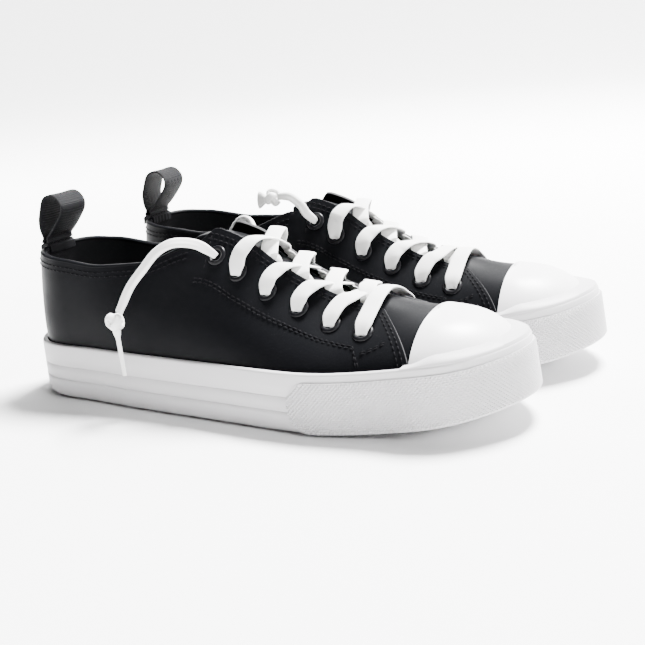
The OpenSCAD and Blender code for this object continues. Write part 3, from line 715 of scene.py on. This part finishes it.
def lace_end(side, tag, left, body):
    """A free end: the flat lace folded on itself, with a lengthwise crease, then its knot and its tip."""
    route = through(ROUTES[side, tag], 12)
    pts, nrm, s = even(route, [[0, 0.25, 1.0]] * len(route), 0.5)
    b = Build()
    rings = []
    for i, p in enumerate(pts):
        t = unit(pts[min(len(pts) - 1, i + 1)] - pts[max(0, i - 1)])
        w = unit(np.cross(t, unit(np.array([0.2, -1.0 if tag == "lateral" else 1.0, 0.6]))))
        u = unit(np.cross(w, t))
        grow = 0.72 + 0.28 * smooth(s[i] / 9) - 0.12 * smooth((s[i] - s[-1] + 8) / 8)
        ring = []
        for k in range(20):
            a = 2 * math.pi * k / 20
            r = 1 + 0.045 * math.cos(2 * math.pi * s[i] / 1.25 + 3 * a)
            crease = 1 - 0.35 * math.exp(-((math.atan2(math.sin(a - 1.4), math.cos(a - 1.4))) / 0.35) ** 2)
            ring.append(p + grow * r * crease * (2.45 * math.cos(a) * w + 1.45 * math.sin(a) * u))
        rings.append(ring)
    b.sweep(rings)
    name = side + "_loose_end_" + tag
    cord = b.make(name, [LACE], left, body, [side + "_lace_end_" + tag], angle=80)
    end = np.array(ROUTES[side, tag][-1], float)
    way = unit(pts[-1] - pts[-5])
    hang = side == "right"
    centre = end + 5.2 * way
    # the knot: the lace passed round itself, drawn tight
    kn = Build()
    up = -way if not hang else unit(-way * 0.5 + np.array([0, 0, 0.6]))
    x = unit(np.cross(up, [0.3, 1.0, 0.1]))
    y = np.cross(up, x)
    path = []
    for i in range(96):
        a = 2 * math.pi * i / 96
        q = np.array([math.sin(a) + 2 * math.sin(2 * a), math.cos(a) - 2 * math.cos(2 * a), -math.sin(3 * a)])
        path.append(centre + 1.4 * (q[0] * x + q[1] * y * 0.9) + 2.6 * q[2] * up)
    ring_list = []
    for i, p in enumerate(path):
        t = unit(path[(i + 1) % 96] - path[i - 1])
        out = unit(p - centre + 1e-6)
        w = unit(np.cross(t, out))
        u = unit(np.cross(w, t))
        ring_list.append([p + (2.1 + 0.1 * math.cos(i * 1.9 + 3 * g)) * math.cos(g) * w + 1.1 * math.sin(g) * u
                          for g in [2 * math.pi * k / 14 for k in range(14)]])
    kn.sweep(ring_list, wrap=True)
    core = []
    for i in range(13):
        f = math.pi * i / 12
        core.append([centre + 3.1 * max(0.02, math.sin(f)) * (math.cos(g) * x + math.sin(g) * y)
                     + 3.6 * math.cos(f) * up for g in [2 * math.pi * k / 16 for k in range(16)]])
    kn.sweep(core)
    knot_obj = kn.make(side + "_end_knot_" + tag, [LACE], left, body, [side + "_knot_" + tag], angle=80)
    # the tail past the knot: a bonded tip when it hangs, a flared cut end when it is short
    tp = Build()
    tail = unit(np.array([0.1, -0.05 if tag == "lateral" else 0.05, -1.0])) if hang else way
    x = unit(np.cross(tail, [0.2, 1.0, 0.3]))
    y = np.cross(tail, x)
    n = 40
    long = 24.5 if hang else 8.5
    rings = []
    for i in range(n + 1):
        f = i / n
        p = centre + tail * (3.2 + f * long)
        if hang:
            rx = 2.3 - 0.95 * smooth((f - 0.08) * 6) - 0.2 * f
            ry = 1.8 - 0.8 * smooth((f - 0.08) * 6)
        else:
            rx = 2.2 + 2.6 * smooth(f * 1.3 - 0.2)
            ry = 1.9 - 0.6 * smooth(f * 1.3)
        r = 1 + (0.05 * math.cos(i * 2.1) if f < 0.35 or not hang else 0.0)
        rings.append([p + r * (rx * math.cos(g) * x + ry * math.sin(g) * y)
                      for g in [2 * math.pi * k / 14 for k in range(14)]])
    tp.sweep(rings)
    tip_obj = tp.make(side + "_end_tip_" + tag, [LACE], left, body, [side + "_tip_" + tag], angle=60)
    length = float(s[-1])
    return length


# ---------------------------------------------------------------- pull loop
def pull_loop(side, left):
    # a folded tape that stands in a leaning drop shape, with woven ridges and a stitched foot
    b = Build()
    x0, z0, a, h = 7.0, 80.6, 9.4, 12.2
    path = [np.array([x0 - 1.9, 0, z0 - 0.15])]
    for i in range(17):
        q = 0.5 + (2 * math.pi - 1.0) * i / 16
        z = 13.2 - h * math.cos(q)
        lean = 6 * min(1.2, z / 15) ** 1.3
        path.append(np.array([x0 + lean - a * math.sin(q) * math.sin(q / 2) ** 0.9, 0, z0 + z]))
    path.append(np.array([x0 + 1.9, 0, z0 - 0.15]))
    line_pts = through(path, 8)
    rings = []
    ys = [-10, -9.7, -9.3, -8, -6.5, -5, -3.5, -2, -0.7, 0.7, 2, 3.5, 5, 6.5, 8, 9.3, 9.7, 10]
    for i, p in enumerate(line_pts):
        t = unit(line_pts[min(len(line_pts) - 1, i + 1)] - line_pts[max(0, i - 1)])
        u = np.array([t[2], 0, -t[0]])
        out, back = [], []
        for y in ys:
            rib_h = 0.07 * math.cos(2 * math.pi * (i / 3.0)) * (1 if abs(y) < 9 else 0)
            k = 0.66 * (1 - 0.4 * (abs(y) / 10) ** 8)
            flare = 0.5 * (y / 10) ** 2 * math.sin(math.pi * i / len(line_pts))
            base = p + np.array([0, y * (1 - 0.03 * math.sin(math.pi * i / len(line_pts))), flare])
            out.append(base - u * (k + rib_h))
            back.append(base + u * (k + rib_h))
        rings.append(out + back[::-1])
    b.sweep(rings)
    loop = b.make(side + "_loop_tape", [TAPE], left, side + "_heel_loop", [side + "_pull_loop"], angle=60)
    b = Build()
    pts = [[np.array([x0 + dx, y, 78.6 + 1.65 * (1 - abs(dx / 3.6) ** 3)]) for dx in steps(-3.6, 3.6, 8)]
           for y in steps(-10, 10, 12)]
    low = [[p - np.array([0, 0, 4.0]) for p in row] for row in pts]
    b.shell(pts, low)
    b.make(side + "_loop_foot", [TAPE], left, side + "_shoe", [side + "_loop_anchor"], bevel=0.3)
    rows = []
    for dx in (-2.6, 2.6):
        rows.append(([np.array([x0 + dx, y, 79.75]) for y in steps(-9, 9, 12)], [np.array([0, 0, 1.0])] * 13))
    stitch_rows(rows).make(side + "_loop_stitches", [THREAD], left, side + "_shoe", fix=False)
    return loop


# ---------------------------------------------------------------- camera first, then both shoes
def camera():
    az, el, roll = (math.radians(a) for a in (30.53, 13.97, -4.92))
    dist, focal, cx, cy = 576.28, 1100.56, 312.96, 299.98
    fwd = np.array([-math.sin(az) * math.cos(el), math.cos(az) * math.cos(el), -math.sin(el)])
    right = np.array([math.cos(az), math.sin(az), 0])
    up = np.cross(right, fwd)
    r2 = right * math.cos(roll) + up * math.sin(roll)
    u2 = up * math.cos(roll) - right * math.sin(roll)
    pos = (np.array([150, 30, 45]) - ORIGIN - fwd * dist) / 1000
    aim = unit(fwd * focal + r2 * (322.5 - cx) - u2 * (322.5 - cy))
    side = unit(r2 - aim * (r2 @ aim))
    top = np.cross(side, aim)
    data = bpy.data.cameras.new("camera")
    data.sensor_width = 36
    data.lens = 36 * focal / 645
    data.clip_start = 0.01
    data.clip_end = 50
    obj = bpy.data.objects.new("camera", data)
    bpy.context.scene.collection.objects.link(obj)
    obj.matrix_world = Matrix(((side[0], top[0], -aim[0], pos[0]), (side[1], top[1], -aim[1], pos[1]),
                               (side[2], top[2], -aim[2], pos[2]), (0, 0, 0, 1)))
    bpy.context.scene.camera = obj


camera()
for left, side in ((False, "right"), (True, "left")):
    body = side + "_shoe"
    for tag in ("lateral", "medial"):
        n = lace_end(side, tag, left, body)
        print("cord", side, tag, round(n, 1), "mm")
for left, side in ((False, "right"), (True, "left")):
    body = side + "_shoe"
    foxing(side, left, body)
    outsole(side, left, body)
    bumper(side, left, body)
    welt(side, left, body)
    toe_cap(side, left, body)
    vamp(side, left, body)
    for s, tag in ((-1, "lateral"), (1, "medial")):
        quarter(side, left, body, s, tag)
        eyelets(side, left, body, s, tag)
    back_stay(side, left, body)
    collar(side, left, body)
    lining(side, left, body)
    footbed(side, left, body)
    tongue(side, left, body)
    stitching(side, left, body)
    laces(side, left, body)
    pull_loop(side, left)

# ---------------------------------------------------------------- floor and light
def sheet_of_floor():
    """A white sweep: flat under the shoes, then rising behind them. It glows, more the farther from the shoes:
    painted light that keeps the far floor and backdrop white.
    """
    profile = [(-5.0, 0.0), (2.2, 0.0)] + [(2.2 + 1.5 * math.sin(a), 1.5 - 1.5 * math.cos(a)) for a in
                                           [math.pi / 2 * k / 12 for k in range(1, 13)]] + [(3.7, 6.0)]
    pts = [(x, y, z - 0.0003) for y, z in profile for x in (-6.0, 6.0)]
    faces = [(2 * k, 2 * k + 1, 2 * k + 3, 2 * k + 2) for k in range(len(profile) - 1)]
    mesh = bpy.data.meshes.new("sweep")
    mesh.from_pydata(pts, [], faces)
    mesh.polygons.foreach_set("use_smooth", [True] * len(faces))
    obj = bpy.data.objects.new("sweep", mesh)
    bpy.context.scene.collection.objects.link(obj)
    m = material("white_glowing_sweep", (0.93, 0.93, 0.93), 0.9, specular=0.1)
    bsdf = m.node_tree.nodes["Principled BSDF"]
    bsdf.inputs["Emission Color"].default_value = (1, 1, 1, 1)
    # painted light: the sweep's emission rises from nothing within 0.22 m of the origin to 3.6 beyond 1.1 m
    where = m.node_tree.nodes.new("ShaderNodeNewGeometry")
    far = m.node_tree.nodes.new("ShaderNodeVectorMath")
    far.operation = "LENGTH"
    glow = m.node_tree.nodes.new("ShaderNodeMapRange")
    glow.interpolation_type = "SMOOTHSTEP"
    for key, value in (("From Min", 0.22), ("From Max", 1.1), ("To Min", 0.0), ("To Max", 3.6)):
        glow.inputs[key].default_value = value
    m.node_tree.links.new(where.outputs["Position"], far.inputs[0])
    m.node_tree.links.new(far.outputs["Value"], glow.inputs["Value"])
    m.node_tree.links.new(glow.outputs["Result"], bsdf.inputs["Emission Strength"])
    mesh.materials.append(m)


def area(name, at, look, size, power, spec=1.0):
    data = bpy.data.lights.new(name, "AREA")
    data.shape = "DISK"
    data.size = size
    data.energy = power
    data.specular_factor = spec
    obj = bpy.data.objects.new(name, data)
    bpy.context.scene.collection.objects.link(obj)
    obj.location = at
    obj.rotation_euler = (Vector(look) - Vector(at)).to_track_quat("-Z", "Y").to_euler()


sheet_of_floor()
area("overhead", (0.2, 0.75, 1.65), (0, 0.1, 0), 0.65, 340, 0.2)
area("key", (1.6, -0.5, 0.8), (0.05, 0, 0.03), 0.4, 34, 0.3)
area("back", (-0.3, 1.9, 1.0), (0, 0, 0.05), 1.2, 5, 0.2)
world = bpy.data.worlds.new("studio")
bpy.context.scene.world = world
world.use_nodes = True
world.node_tree.nodes["Background"].inputs["Color"].default_value = (1, 1, 1, 1)
world.node_tree.nodes["Background"].inputs["Strength"].default_value = 0.06
